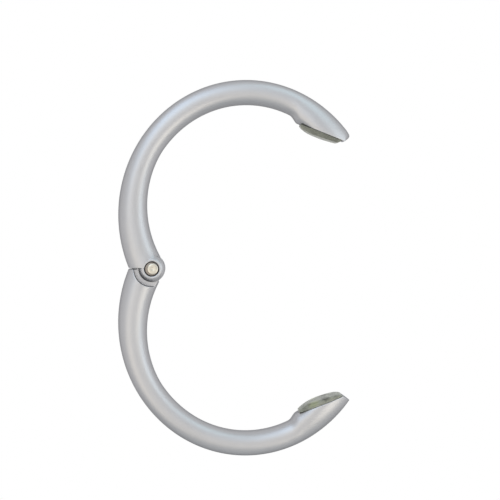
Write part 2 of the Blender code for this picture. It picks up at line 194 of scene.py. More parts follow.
# How fine the meshes are.
fine = {
    "section": 72,
    "bodyStep": radians(1.5),
    "headStep": radians(0.5),
    "round": 144,
    "peg": 48,
    "rimSteps": 12,
    "crownStep": 0.0002,
    "halvings": 40,
    "overrun": 0.0015,  # how far a cutter goes past what it cuts
    "armVoxel": 0.00010,
    "finestVoxel": 0.00010,  # the one that the rounds of the blends are meant for
    "armSmoothing": 4,
    "armFaces": 70000,
    "padVoxel": 0.00008,
    "padSmoothing": 3,
    "padFaces": 16000,
}


# From 0 to 1 with a soft start and end, for a number or an array
def smooth(share):
    share = np.clip(share, 0, 1)
    return share * share * (3 - 2 * share)


def eased(value, start, end):
    return smooth((value - start) / (end - start))


# Radius of the outer line at an angle round the arc's centre
def outerRadius(angle):
    if angle > arm["ovalLow"]:
        run = (angle - arm["ovalLow"]) / (arm["hingeTop"] - arm["ovalLow"])
        return arm["ringRadius"] - arm["oval"] + arm["hingeRise"] * run ** 2
    wave = pi * (angle - arm["ovalHigh"]) / (arm["ovalLow"] - arm["ovalHigh"])
    return arm["ringRadius"] + arm["oval"] * cos(wave)


def onArm(radius, angle):
    reach = outerRadius(pi) - arm["pinInset"]
    return reach + radius * cos(angle), -arm["centreDrop"] + radius * sin(angle)


# Where the pad's seat meets the small flat at the tip
def facetCorner():
    height = arm["closedGap"] / 2
    lift = arm["centreDrop"] + height
    tipRadius = outerRadius(asin(lift / arm["ringRadius"]))
    tip = onArm(0, 0)[0] + sqrt(tipRadius ** 2 - lift ** 2)
    return tip - arm["tipFacet"], height


def lipCorner(angle):
    cut = arm["lipRise"] * smooth(arm["lipCutShare"])
    return onArm(outerRadius(angle) - arm["thickness"] - cut, angle)


seatLength = pad["setback"] + pad["length"] + arm["seatEnd"]


# The angle at which the seat, at its length, reaches the arm's inner line
def findLipAngle():
    x, z = facetCorner()
    low, high = 0, pi / 2
    for _ in range(fine["halvings"]):
        middle = (low + high) / 2
        lipX, lipZ = lipCorner(middle)
        if hypot(lipX - x, lipZ - z) < seatLength:
            low = middle
        else:
            high = middle
    return low


lipAngle = findLipAngle()

# The hinge's stack of sizes, from the spring outwards
coilRadius = hinge["pinRadius"] + spring["coilClearance"] + spring["wire"] / 2
coilTurn = 2 * (arm["openHalfAngle"] + spring["legAngle"] - pi / 2) + 2 * pi * spring["turns"]
coilReach = (spring["wire"] + spring["coilGap"]) * coilTurn / (4 * pi)
pocketHalf = coilReach + spring["wire"] / 2 + spring["coilClearance"]
pocketRadius = coilRadius + spring["wire"] / 2 + spring["coilClearance"]
tongueHalf = pocketHalf + hinge["cheek"]
forkHalf = tongueHalf + hinge["forkClearance"]
hingeHalf = forkHalf + hinge["earThickness"]
bossHalf = hingeHalf - hinge["bossSetIn"]
headRadius = hinge["pinRadius"] + pin["headLip"]
sinkRadius = headRadius + hinge["sinkClearance"]
sinkFloor = bossHalf - pin["headSunk"] - pin["headCrown"] - pin["headThickness"] - hinge["pinClearance"]
bossRadius = sinkRadius + hinge["bossWall"]
forkRadius = bossRadius + hinge["forkMargin"]
tongueRadius = forkRadius - hinge["forkClearance"]
lugRadius = tongueRadius + hinge["lugRise"]
legLength = lugRadius + hinge["forkClearance"] + spring["legBite"]


def hingeShare(angle):
    return max((angle - arm["taperEnd"]) / (arm["hingeTop"] - arm["taperEnd"]), 0) ** arm["taperPower"]


def armThickness(angle):
    swell = (arm["hingeThickness"] - arm["thickness"]) * hingeShare(angle)
    blend = arm["lipBlend"] / arm["ringRadius"]
    lipFrom = lipAngle + arm["lipCutShare"] * blend
    return arm["thickness"] + swell + arm["lipRise"] * eased(angle, lipFrom, lipFrom - blend)


def flareShare(angle):
    start = lipAngle + arm["flareLength"] / arm["ringRadius"]
    return eased(angle, start, arm["widestShare"] * lipAngle)


noseReach = arm["noseShare"] * arm["widestShare"] * lipAngle


def armDepth(angle):
    swell = (2 * hingeHalf - arm["depth"]) * hingeShare(angle)
    flare = (arm["headDepth"] - arm["depth"]) * flareShare(angle)
    nose = max(arm["widestShare"] * lipAngle - angle, 0) / noseReach
    return (arm["depth"] + swell + flare) * sqrt(1 - nose ** 2)


def superellipse(halfWidth, halfHeight, power, count):
    points = []
    for i in range(count):
        turn = 2 * pi * i / count
        across = copysign(abs(cos(turn)) ** (2 / power), cos(turn))
        along = copysign(abs(sin(turn)) ** (2 / power), sin(turn))
        points.append((halfWidth * across, halfHeight * along))
    return points


# The arm's section at an angle, drawn in all round by an inset and let out on the inner side by a swell
def armRing(angle, inset=0, swell=0):
    half = (armThickness(angle) + swell) / 2
    halfDepth = armDepth(angle) / 2 - inset
    flare = flareShare(angle)
    power = arm["sectionPower"] + (arm["headPower"] - arm["sectionPower"]) * flare
    ring = []
    for across, along in superellipse(half - inset, halfDepth, power, fine["section"]):
        shift = arm["crestShift"] * flare * half * (1 - (across / half) ** 2)
        x, z = onArm(outerRadius(angle) - half + across - shift, angle)
        ring.append((x, along, z))
    return ring


# The seat's frame at a distance from the tip: x up the seat, z out towards the pad's face
def seatFrame(distance):
    x, z = facetCorner()
    lipX, lipZ = lipCorner(lipAngle)
    up = Vector((lipX - x, 0, lipZ - z)).normalized()
    out = Vector((-up.z, 0, up.x))
    place = Matrix((up, out.cross(up), out)).transposed().to_4x4()
    place.translation = Vector((x, 0, z)) + up * distance
    return place


# From the shut ring to the open stop: side is 1 for the upper arm and -1 for the lower
def armPlace(side):
    turn = Matrix.Rotation(-side * arm["openHalfAngle"], 4, "Y")
    return Matrix.Translation(pinPlace) @ turn @ Matrix.Diagonal((1, 1, side, 1))


def loft(rings, bm=None):
    bm = bm or bmesh.new()
    rows = [[bm.verts.new(point) for point in ring] for ring in rings]
    for low, high in zip(rows, rows[1:]):
        for i in range(len(low)):
            j = (i + 1) % len(low)
            bm.faces.new((low[i], low[j], high[j], high[i]))
    bm.faces.new(rows[0])
    bm.faces.new(rows[-1])
    return bm


def prism(outline, front, back):
    return loft([[(x, y, z) for x, z in outline] for y in (front, back)])


def turned(profile, count, bm=None):
    turns = [2 * pi * i / count for i in range(count)]
    return loft([[(r * cos(t), y, r * sin(t)) for t in turns] for r, y in profile], bm)


def bothFaces(half):
    return [(radius, -y) for radius, y in half] + [(radius, y) for radius, y in reversed(half)]


def arcPoints(radius, start, end, centre=(0, 0)):
    count = max(ceil(abs(end - start) * fine["round"] / (2 * pi)), 1)
    turns = [start + (end - start) * i / count for i in range(count + 1)]
    return [(centre[0] + radius * cos(turn), centre[1] + radius * sin(turn)) for turn in turns]


def fan(radius, start, end, front, back, apex=(0, 0)):
    return prism([apex] + arcPoints(radius, start, end, apex), front, back)


def addPiece(name, bm):
    bmesh.ops.recalc_face_normals(bm, faces=bm.faces)
    mesh = bpy.data.meshes.new(name)
    bm.to_mesh(mesh)
    bm.free()
    mesh.shade_smooth()
    made = bpy.data.objects.new(name, mesh)
    bpy.context.scene.collection.objects.link(made)
    return made


# Gives the piece its mesh as the modifiers leave it
def settle(piece):
    graph = bpy.context.evaluated_depsgraph_get()
    old = piece.data
    piece.data = bpy.data.meshes.new_from_object(piece.evaluated_get(graph))
    piece.data.name = piece.name
    piece.modifiers.clear()
    bpy.data.meshes.remove(old)


# Applies (operation, cutter mesh) steps to a piece
def carve(piece, steps):
    tools = []
    for operation, bm in steps:
        tool = addPiece("tool", bm)
        step = piece.modifiers.new("carve", "BOOLEAN")
        step.operation, step.object, step.solver = operation, tool, "EXACT"
        tools.append(tool)
    settle(piece)
    for tool in tools:
        bpy.data.objects.remove(tool)


def readVectors(items, field):
    values = np.empty(len(items) * 3, np.float32)
    items.foreach_get(field, values)
    return values.reshape(-1, 3).astype(float)


def edgeEnds(mesh):
    ends = np.empty(len(mesh.edges) * 2, np.int32)
    mesh.edges.foreach_get("vertices", ends)
    return ends[0::2], ends[1::2]


# A function that takes the mean over each vertex's neighbours, and how many neighbours there are
def neighbourMean(a, b, count):
    near = np.maximum(np.bincount(a, minlength=count) + np.bincount(b, minlength=count), 1)

    def mean(value):
        return (np.bincount(a, value[b], count) + np.bincount(b, value[a], count)) / near

    return mean, near


# How sharply the surface turns at each vertex, in 1/mm: above 0 on edges, below 0 in crevices
def curvature(mesh, rounds=3):
    places = readVectors(mesh.vertices, "co")
    normals = readVectors(mesh.vertex_normals, "vector")
    a, b = edgeEnds(mesh)
    mean, near = neighbourMean(a, b, len(places))
    step = places[b] - places[a]
    perMetre = ((normals[b] - normals[a]) * step).sum(1) / np.maximum((step ** 2).sum(1), 1e-12)
    bend = perMetre / 1000
    value = (np.bincount(a, bend, len(places)) + np.bincount(b, bend, len(places))) / near
    for _ in range(rounds):
        value = (value + mean(value)) / 2
    return places, value


# Rounds a mesh off where the weight of a vertex is above 0. The weight comes from its place
def roundOff(mesh, weigh, rounds):
    places = readVectors(mesh.vertices, "co")
    weight = weigh(places)
    a, b = edgeEnds(mesh)
    inside = (weight[a] > 0) | (weight[b] > 0)
    used, local = np.unique(np.concatenate([a[inside], b[inside]]), return_inverse=True)
    mean = neighbourMean(local[: inside.sum()], local[inside.sum():], len(used))[0]
    part, share = places[used], weight[used][:, None] / 2
    for _ in range(rounds):
        part += (np.stack([mean(part[:, k]) for k in range(3)], axis=1) - part) * share
    places[used] = part
    mesh.vertices.foreach_set("co", places.ravel().astype(np.float32))
    mesh.update()


# A cast surface: every edge gets a small round, some get a larger one, and the mesh is thinned
# with the dense one's shading kept
def castSurface(piece, voxel, rounds, faces, blends=()):
    remesh = piece.modifiers.new("remesh", "REMESH")
    remesh.mode, remesh.voxel_size, remesh.use_smooth_shade = "VOXEL", voxel, True
    soften = piece.modifiers.new("soften", "SMOOTH")
    soften.factor, soften.iterations = 0.5, rounds
    settle(piece)
    for weigh, blendRounds in blends:
        roundOff(piece.data, weigh, ceil(blendRounds * (fine["finestVoxel"] / voxel) ** 2))
    dense = bpy.data.objects.new("dense", piece.data.copy())
    bpy.context.scene.collection.objects.link(dense)
    thin = piece.modifiers.new("thin", "DECIMATE")
    triangles = 2 * len(piece.data.polygons)
    thin.ratio = min(faces / triangles, 1)
    keep = piece.modifiers.new("keep", "DATA_TRANSFER")
    keep.object, keep.use_loop_data = dense, True
    keep.data_types_loops, keep.loop_mapping = {"CUSTOM_NORMAL"}, "POLYINTERP_LNORPROJ"
    settle(piece)
    places, value = curvature(dense.data)
    tree = KDTree(len(places))
    for i, place in enumerate(places):
        tree.insert(place, i)
    tree.balance()
    mark = piece.data.attributes.new("edgeCurve", "FLOAT", "POINT")
    nearest = [tree.find(vertex.co)[1] for vertex in piece.data.vertices]
    mark.data.foreach_set("value", value[nearest].astype(np.float32))
    bpy.data.objects.remove(dense)


def armBody(inset=0, swell=0):
    rings = []
    last = arm["widestShare"] * lipAngle - arm["noseEndShare"] * noseReach
    angle = pi + arm["hingeThickness"] / (2 * arm["ringRadius"])
    while angle > last:
        rings.append(armRing(angle, inset, swell))
        angle -= fine["bodyStep"] if flareShare(angle) == 0 else fine["headStep"]
    rings.append(armRing(last, inset, swell))
    return loft(rings)


# Takes off the bar past the hinge, from the shoulder that is the open stop to the inner corner
def endCutter(keepFrom):
    half = arm["stopGap"] / 2
    turn = arm["openHalfAngle"]
    apex = (half * sin(turn), half * cos(turn))
    radius = arm["hingeThickness"] + 2 * fine["overrun"]
    wide = hingeHalf + fine["overrun"]
    return fan(radius, pi - turn, 2 * pi + keepFrom - turn, -wide, wide, apex)


def headCutter():
    half = arm["headDepth"] / 2 + fine["overrun"]
    x, z = facetCorner()
    place = seatFrame(seatLength + 2 * fine["overrun"])
    x -= arm["seatLift"] / place.col[0].z
    top = place @ Vector((0, 0, arm["seatLift"]))
    deep = arm["thickness"] + arm["lipRise"] + fine["overrun"]
    inside = place @ Vector((0, 0, deep))
    far = facetCorner()[0] + arm["tipFacet"] + fine["overrun"]
    outline = [(x, z), (top.x, top.z), (inside.x, inside.z), (inside.x, -deep), (far, -deep), (far, z)]
    return prism(outline, -half, half)


def pegPlaces():
    pitch = 2 * (pad["pegRadius"] + pad["pegClearance"]) + pad["pegWeb"]
    gaps = floor((pad["length"] - 2 * pad["pegMargin"]) / pitch)
    middle = pad["setback"] + pad["length"] / 2
    return [seatFrame(middle + (i - gaps / 2) * pitch) for i in range(gaps + 1)]


def pegs(radius, low, high):
    bm = bmesh.new()
    turns = [2 * pi * k / fine["peg"] for k in range(fine["peg"])]
    ring = [(radius * cos(turn), radius * sin(turn)) for turn in turns]
    for place in pegPlaces():
        loft([[place @ Vector((x, y, height)) for x, y in ring] for height in (low, high)], bm)
    return bm


def pegSockets():
    deep = pad["pegLength"] + pad["pegClearance"]
    return pegs(pad["pegRadius"] + pad["pegClearance"], -deep, fine["overrun"])


def legSocket(side, near, far):
    half = spring["wire"] / 2 + spring["legClearance"]
    along = Vector((cos(spring["legAngle"]), sin(spring["legAngle"])))
    across = Vector((sin(spring["legAngle"]), -cos(spring["legAngle"])))
    corners = []
    for distance, offset in ((near, -half), (far, -half), (far, half), (near, half)):
        corners.append(tuple(along * distance + across * (coilRadius + offset)))
    return prism(corners, side * coilReach - half, side * coilReach + half)


def bossBody():
    crest = sinkRadius + hinge["rimEdge"]
    corner = hinge["rimEdge"] * (1 - sin(pi / 4))
    rim = [(sinkRadius, bossHalf - hinge["rimEdge"]), (sinkRadius + corner, bossHalf - corner)]
    bend = 2 / hinge["rollPower"]
    for i in range(fine["rimSteps"] + 1):
        turn = pi / 2 * i / fine["rimSteps"]
        out = crest + (bossRadius - crest) * sin(turn) ** bend
        rim.append((out, bossHalf - hinge["rimRoll"] * (1 - max(cos(turn), 0) ** bend)))
    return turned(bothFaces(rim), fine["round"])


def pinHole():
    hole = hinge["pinRadius"] + hinge["pinClearance"]
    half = [(sinkRadius, hingeHalf + fine["overrun"]), (sinkRadius, sinkFloor), (hole, sinkFloor)]
    return turned(bothFaces(half), fine["round"])


# A disc round the pin with a lug from start to end
def luggedDisc(clearance, start, end, half):
    outline = arcPoints(lugRadius + clearance, start, end)
    return prism(outline + arcPoints(tongueRadius + clearance, end, start + 2 * pi), -half, half)


def forkGap():
    shoulder = pi - arm["openHalfAngle"]
    start = shoulder - 2 * arm["openHalfAngle"] - 2 * hinge["lugMargin"]
    return luggedDisc(hinge["forkClearance"], start, shoulder + hinge["lugMargin"], forkHalf)


def tongueBody():
    half = tongueHalf + hinge["grooveDepth"]
    start = pi - arm["openHalfAngle"] - hinge["lugMargin"]
    return luggedDisc(0, start, pi + arm["openHalfAngle"] + hinge["lugMargin"], half)


# Faces the tongue down on both sides, with a fine groove at the foot of the arc step
def recess():
    far = hingeHalf + fine["overrun"]
    outer = bossRadius + hinge["bandWidth"]
    groove = outer - hinge["grooveWidth"]
    deep = tongueHalf - hinge["grooveDepth"]
    bm = bmesh.new()
    for face in (-1, 1):
        profile = [(groove, tongueHalf), (groove, deep), (outer, deep), (outer, far)]
        turned([(radius, face * y) for radius, y in profile], fine["round"], bm)
    return bm


def springMouth():
    wireAngle = atan((spring["wire"] + spring["coilClearance"]) / coilRadius)
    start = -(spring["legAngle"] + 2 * arm["openHalfAngle"])
    end = pi / 2 - spring["legAngle"] + wireAngle
    return fan(lugRadius + fine["overrun"], start, end, -pocketHalf, pocketHalf)


def upperSteps():
    return [
        ("DIFFERENCE", endCutter(hinge["innerCornerUpper"])),
        ("UNION", bossBody()),
        ("DIFFERENCE", forkGap()),
        ("DIFFERENCE", pinHole()),
        ("DIFFERENCE", legSocket(1, tongueRadius - fine["overrun"], legLength + spring["legClearance"])),
        ("DIFFERENCE", headCutter()),
        ("DIFFERENCE", pegSockets()),
    ]


def lowerSteps():
    hole = hinge["pinRadius"] + hinge["pinClearance"]
    far = tongueHalf + fine["overrun"]
    return [
        ("DIFFERENCE", endCutter(hinge["innerCornerLower"])),
        ("UNION", tongueBody()),
        ("DIFFERENCE", recess()),
        ("DIFFERENCE", turned([(hole, -far), (hole, far)], fine["round"])),
        ("DIFFERENCE", turned([(pocketRadius, -pocketHalf), (pocketRadius, pocketHalf)], fine["round"])),
        ("DIFFERENCE", springMouth()),
        ("DIFFERENCE", legSocket(-1, coilRadius / 2, legLength + spring["legClearance"])),
        ("DIFFERENCE", headCutter()),
        ("DIFFERENCE", pegSockets()),
    ]


# Moves a piece from the arm's frame to the row frame, turning its faces back out on the mirrored side
def setUp(piece, side):
    if side < 0:
        piece.data.flip_normals()
    piece.data.transform(armPlace(side))


# Places in the row frame, seen from an arm's own frame
def inArmFrame(places, side):
    back = np.array(armPlace(side).inverted())
    return places @ back[:3, :3].T + back[:3, 3]


# 1 where the boss's roll sinks into the upper arm, 0 at the counterbore, the fork and the free side
def bossBlendWeight(places):
    x, y, z = inArmFrame(places, 1).T
    radius, turn = np.hypot(x, z), np.arctan2(z, x)

    def along(value, start, name):
        low, high = (start + share * hinge["bossBlend"] for share in hinge[name])
        return eased(value, low, high)

    ring = along(np.abs(radius - bossRadius), 0, "bossRadiusShares")
    ring *= along(radius, sinkRadius, "bossRimShares")
    inner, outer = hinge["innerCornerUpper"] - arm["openHalfAngle"], pi - arm["openHalfAngle"]
    innerTurn, outerTurn = hinge["bossTurns"]
    run = eased(turn, inner - innerTurn, inner) * eased(turn, outer, outer - outerTurn)
    return ring * run * along(np.abs(y), forkHalf, "bossEarShares")


def tipBlendWeight(side):
    x, z = facetCorner()

    def weigh(places):
        own = inArmFrame(places, side)
        apart = np.hypot(own[:, 0] - x - arm["tipFacet"], own[:, 2] - z)
        return eased(apart, arm["tipBlend"], arm["tipBlendFullShare"] * arm["tipBlend"])

    return weigh


def makeArm(name, side, steps, blends):
    made = addPiece(name, armBody())
    carve(made, steps)
    setUp(made, side)
    blends.append((tipBlendWeight(side), arm["tipBlendRounds"][side < 0]))
    castSurface(made, fine["armVoxel"], fine["armSmoothing"], fine["armFaces"], blends)
    print(name, "made:", len(made.data.polygons), "faces")
    return made


upperArm = makeArm("upper_arm_cast", 1, upperSteps(), [(bossBlendWeight, hinge["bossBlendRounds"])])
lowerArm = makeArm("lower_arm_cast", -1, lowerSteps(), [])


# A rivet with a head at each end, a raised button on each head and the dimple that closed it
def makePin():
    under = sinkFloor + hinge["pinClearance"]
    top = under + pin["headThickness"] + pin["headCrown"]
    rim = headRadius + pin["spread"]
    shoulder = top - pin["buttonStep"]
    edge = pin["edgeRound"]
    half = [(rim - edge, shoulder), (rim - edge / 3, shoulder - edge / 3), (rim, shoulder - edge)]
    half += [(rim, under + edge / 2), (rim - edge / 2, under), (hinge["pinRadius"], under)]
    bm = turned(bothFaces([(pin["capShare"] * rim, shoulder)] + half), pin["points"])
    button = pin["buttonRadius"]
    crown = [(out * pin["markRadius"], top - down * pin["markDepth"]) for out, down in pin["markShares"]]
    crown += [(out * button, top - down * button) for out, down in pin["buttonShares"]]
    crown += [(button, shoulder), (button, shoulder - edge)]
    shift = Matrix.Translation((pin["buttonShift"], 0, 0))
    for face in (-1, 1):
        before = len(bm.verts)
        turned([(radius, face * y) for radius, y in crown], pin["points"], bm)
        bm.verts.ensure_lookup_table()
        bmesh.ops.transform(bm, matrix=shift, verts=bm.verts[before:])
    made = addPiece("hinge_rivet", bm)
    # The button is barely rubbed, the rest of the head takes the full dark film, a painted shade
    heights = np.abs(readVectors(made.data.vertices, "co")[:, 1])
    value = np.where(heights > top - pin["brightFrom"] * pin["buttonStep"], pin["bright"], pin["dark"])
    mark = made.data.attributes.new("edgeCurve", "FLOAT", "POINT")
    mark.data.foreach_set("value", value.astype(np.float32))
    made.data.transform(Matrix.Translation(pinPlace))
    return made


# The wire's line on the open stop, from the upper leg's end to the lower leg's end
def springLine():
    leg = arm["openHalfAngle"] + spring["legAngle"]
    steps = ceil(spring["turnPoints"] * coilTurn / (2 * pi))
    coil = []
    for i in range(steps + 1):
        turn = leg - pi / 2 - coilTurn * i / steps
        depth = coilReach * (1 - 2 * i / steps)
        coil.append(Vector((coilRadius * cos(turn), depth, coilRadius * sin(turn))))
    upper = coil[0] + Vector((cos(leg), 0, sin(leg))) * legLength
    lower = coil[-1] + Vector((cos(leg), 0, -sin(leg))) * legLength
    return [upper] + coil + [lower]


def makeSpring():
    line = springLine()
    rings = []
    turns = [2 * pi * k / spring["wirePoints"] for k in range(spring["wirePoints"])]
    for i, point in enumerate(line):
        along = (line[min(i + 1, len(line) - 1)] - line[max(i - 1, 0)]).normalized()
        side = along.cross(Vector((0, 1, 0))).normalized() * (spring["wire"] / 2)
        up = side.cross(along)
        rings.append([point + side * cos(turn) + up * sin(turn) for turn in turns])
    made = addPiece("spring_wire", loft(rings))
    made.data.transform(Matrix.Translation(pinPlace))
    return made


# The pad carries the head's own outline on past the seat, up to the plane where the shut arms meet
def padSlab(tipInset, tipRound):
    seat = seatFrame(0)
    end = pad["setback"] + pad["length"]
    roundRun, roundRise = pad["lipRound"]
    foot = arm["seatLift"] + pad["seatGap"]
    line = [(end, foot)]
    for i in range(fine["rimSteps"] + 1):
        turn = pi / 2 * i / fine["rimSteps"]
        line.append((end - roundRun * (1 - cos(turn)), pad["rise"] - roundRise * (1 - sin(turn))))

    def closing(height):
        return (pad["tipGap"] - seat.translation.z - height * seat.col[2].z) / seat.col[0].z + tipInset

    tipRun, tipRise = tipRound
    run, height = end - pad["crownFrom"], pad["rise"]
    while run > closing(height):
        line.append((run, height))
        run -= fine["crownStep"]
        fall = pad["crownFall"] * ((end - pad["crownFrom"] - run) / pad["crownReach"]) ** 2
        into = min(max(1 - (run - closing(foot)) / tipRun, 0), 1)
        height = pad["rise"] - fall - tipRise * (1 - sqrt(1 - into ** 2))
    for last in (height, foot):
        line.append((closing(last), last))
    outline = [seat @ Vector((run, 0, height)) for run, height in line]
    half = arm["headDepth"] / 2 + fine["overrun"]
    return prism([(corner.x, corner.z) for corner in outline], -half, half)


# Places as distance from the tip along the seat, depth along the pin and height above the seat
def onSeat(places, side):
    back = np.array(seatFrame(0).inverted())
    return (inArmFrame(places, side) @ back[:3, :3].T + back[:3, 3]).T


# Gives each vertex its place on the seat, for the pad's material
def storeSeatPlace(piece, side):
    places = np.stack(onSeat(readVectors(piece.data.vertices, "co"), side), axis=1)
    mark = piece.data.attributes.new("seatPlace", "FLOAT_VECTOR", "POINT")
    mark.data.foreach_set("vector", places.ravel().astype(np.float32))


def makePad(name, side):
    made = addPiece(name, armBody(pad["sideInset"], pad["swell"]))
    slab = padSlab(pad["tipInset"][side < 0], pad["tipRound"][side < 0])
    studs = pegs(pad["pegRadius"], -pad["pegLength"], pad["rise"] / 2)
    carve(made, [("INTERSECT", slab), ("UNION", studs)])
    setUp(made, side)

    def edgeWeight(places):
        return eased(onSeat(places, side)[2], *pad["edgeBlend"])

    blends = [(edgeWeight, pad["edgeBlendRounds"])]
    castSurface(made, fine["padVoxel"], fine["padSmoothing"], fine["padFaces"], blends)
    storeSeatPlace(made, side)
    print(name, "made:", len(made.data.polygons), "faces")
    return made


rivet = makePin()
wire = makeSpring()
upperPad = makePad("upper_grip_pad", 1)
lowerPad = makePad("lower_grip_pad", -1)
print("rivet, spring and pads made")


# Shader groups
def newGroup(name, inputs, outputs):
    group = bpy.data.node_groups.new(name, "ShaderNodeTree")
    for label, value in inputs.items():
        size = len(value) if isinstance(value, tuple) else 1
        kind = {1: "NodeSocketFloat", 3: "NodeSocketVector", 4: "NodeSocketColor"}[size]
        group.interface.new_socket(label, in_out="INPUT", socket_type=kind).default_value = value
    for label, kind in outputs.items():
        group.interface.new_socket(label, in_out="OUTPUT", socket_type=kind)
    return group, group.nodes.new("NodeGroupInput").outputs, group.nodes.new("NodeGroupOutput").inputs


def link(tree, source, target):
    tree.links.new(source, target)


# Gives an input its value, or links it where the value is another node's output
def feed(tree, target, value):
    if isinstance(value, bpy.types.NodeSocket):
        link(tree, value, target)
    else:
        target.default_value = value


def calculate(tree, operation, a, b=0.0, c=0.0):
    node = tree.nodes.new("ShaderNodeMath")
    node.operation = operation
    for target, value in zip(node.inputs, (a, b, c)):
        feed(tree, target, value)
    return node.outputs[0]


def mapRange(tree, value, low, high, newLow=0.0, newHigh=1.0):
    node = tree.nodes.new("ShaderNodeMapRange")
    node.interpolation_type = "SMOOTHSTEP"
    settings = {"Value": value, "From Min": low, "From Max": high, "To Min": newLow, "To Max": newHigh}
    for label, setting in settings.items():
        feed(tree, node.inputs[label], setting)
    return node.outputs["Result"]


def noise(tree, size, detail, roughness=0.5, stretch=None):
    coordinates = tree.nodes.new("ShaderNodeTexCoord").outputs["Object"]
    if stretch:
        mapping = tree.nodes.new("ShaderNodeMapping")
        mapping.inputs["Scale"].default_value = stretch
        link(tree, coordinates, mapping.inputs["Vector"])
        coordinates = mapping.outputs["Vector"]
    node = tree.nodes.new("ShaderNodeTexNoise")
    link(tree, coordinates, node.inputs["Vector"])
    node.inputs["Detail"].default_value = detail
    node.inputs["Roughness"].default_value = roughness
    link(tree, calculate(tree, "DIVIDE", 1.0, size), node.inputs["Scale"])
    return node.outputs["Fac"]


def mixColour(tree, share, a, b):
    node = tree.nodes.new("ShaderNodeMix")
    node.data_type = "RGBA"
    targets = {target.name: target for target in node.inputs if target.enabled}
    for label, value in (("Factor", share), ("A", a), ("B", b)):
        feed(tree, targets[label], value)
    return [result for result in node.outputs if result.enabled][0]


def vectorStep(tree, operation, a, b=None):
    node = tree.nodes.new("ShaderNodeVectorMath")
    node.operation = operation
    link(tree, a, node.inputs[0])
    if b:
        link(tree, b, node.inputs[1])
    return node.outputs["Value" if operation == "LENGTH" else "Vector"]


def attribute(tree, name):
    node = tree.nodes.new("ShaderNodeAttribute")
    node.attribute_name = name
    return node.outputs


# Fine grain and slow waves in a surface, sizes in metres and heights in micrometres
def makeGrainGroup():
    group, given, put = newGroup(
        "satin_grain",
        {"Grain Size": 0.0002, "Grain Height": 1.0, "Wave Size": 0.003, "Wave Height": 2.0},
        {"Height": "NodeSocketFloat"},
    )
    grain = noise(group, given["Grain Size"], 3.0, 0.6)
    wave = noise(group, given["Wave Size"], 1.0)
    rise = calculate(group, "MULTIPLY", grain, given["Grain Height"])
    link(group, calculate(group, "MULTIPLY_ADD", wave, given["Wave Height"], rise), put["Height"])
    return group


# Handling: smudges and edges rubbed bright, and a darker film in the crevices, which is painted shade
# there, partly grime
def makeWearAndShadeGroup():
    group, given, put = newGroup(
        "handling_wear_and_shade",
        {
            "Base": (0.5, 0.5, 0.5, 1), "Rubbed": (0.7, 0.7, 0.7, 1), "Grime And Shade": (0.1, 0.1, 0.1, 1),
            "Smudge Size": 0.006, "Smudge": 0.05, "Roughness": 0.3, "Rub": 0.5, "Grime And Shade Share": 0.5,
            "Edge From": 1.0, "Edge To": 3.0, "Patch From": 0.35, "Patch To": 0.65,
            "Polish": -0.08, "Film Roughness": 0.2,
        },
        {"Colour": "NodeSocketColor", "Roughness": "NodeSocketFloat"},
    )
    turn = attribute(group, "edgeCurve")["Fac"]
    patches = noise(group, given["Smudge Size"], 3.0, 0.55)
    edge = mapRange(group, turn, given["Edge From"], given["Edge To"])
    worn = mapRange(group, patches, given["Patch From"], given["Patch To"], 0.5, 1.0)
    rub = calculate(group, "MULTIPLY", calculate(group, "MULTIPLY", edge, given["Rub"]), worn)
    # The crevices take the dark film: painted shade, partly grime
    hollow = calculate(group, "MULTIPLY", turn, -1.0)
    crease = mapRange(group, hollow, given["Edge From"], given["Edge To"])
    grimeAndShade = calculate(group, "MULTIPLY", crease, given["Grime And Shade Share"])
    colour = mixColour(group, grimeAndShade, mixColour(group, rub, given["Base"], given["Rubbed"]), given["Grime And Shade"])
    smudge = calculate(group, "MULTIPLY", calculate(group, "SUBTRACT", patches, 0.5), given["Smudge"])
    tone = group.nodes.new("ShaderNodeVectorMath")
    tone.operation = "SCALE"
    link(group, colour, tone.inputs[0])
    link(group, calculate(group, "ADD", smudge, 1.0), tone.inputs["Scale"])
    link(group, tone.outputs[0], put["Colour"])
    spread = calculate(group, "ADD", smudge, given["Roughness"])
    polished = calculate(group, "MULTIPLY_ADD", rub, given["Polish"], spread)
    rough = calculate(group, "MULTIPLY_ADD", grimeAndShade, given["Film Roughness"], polished)
    link(group, rough, put["Roughness"])
    return group


# A spot with a soft, uneven edge, alike on both sides of the XZ plane
def makeSpotGroup():
    group, given, put = newGroup(
        "soft_spot",
        {
            "Place": (0.0, 0.0, 0.0), "Centre": (0.0, 0.0, 0.0), "Reach": (0.001, 0.001, 0.001),
            "Fade From": 0.5, "Fade To": 1.1, "Uneven": 0.5, "Uneven Size": 0.0008, "Share": 1.0,
        },
        {"Mask": "NodeSocketFloat"},
    )
    off = vectorStep(group, "SUBTRACT", vectorStep(group, "ABSOLUTE", given["Place"]), given["Centre"])
    reached = vectorStep(group, "LENGTH", vectorStep(group, "DIVIDE", off, given["Reach"]))
    ripple = calculate(group, "SUBTRACT", noise(group, given["Uneven Size"], 2.0), 0.5)
    apart = calculate(group, "MULTIPLY_ADD", ripple, given["Uneven"], reached)
    mask = mapRange(group, apart, given["Fade From"], given["Fade To"], given["Share"], 0.0)
    link(group, mask, put["Mask"])
    return group


grainGroup = makeGrainGroup()
wearAndShadeGroup = makeWearAndShadeGroup()
spotGroup = makeSpotGroup()


def useGroup(tree, group, values):
    node = tree.nodes.new("ShaderNodeGroup")
    node.node_tree = group
    for label, value in values.items():
        feed(tree, node.inputs[label], value)
    return node.outputs


micrometre = 0.000001
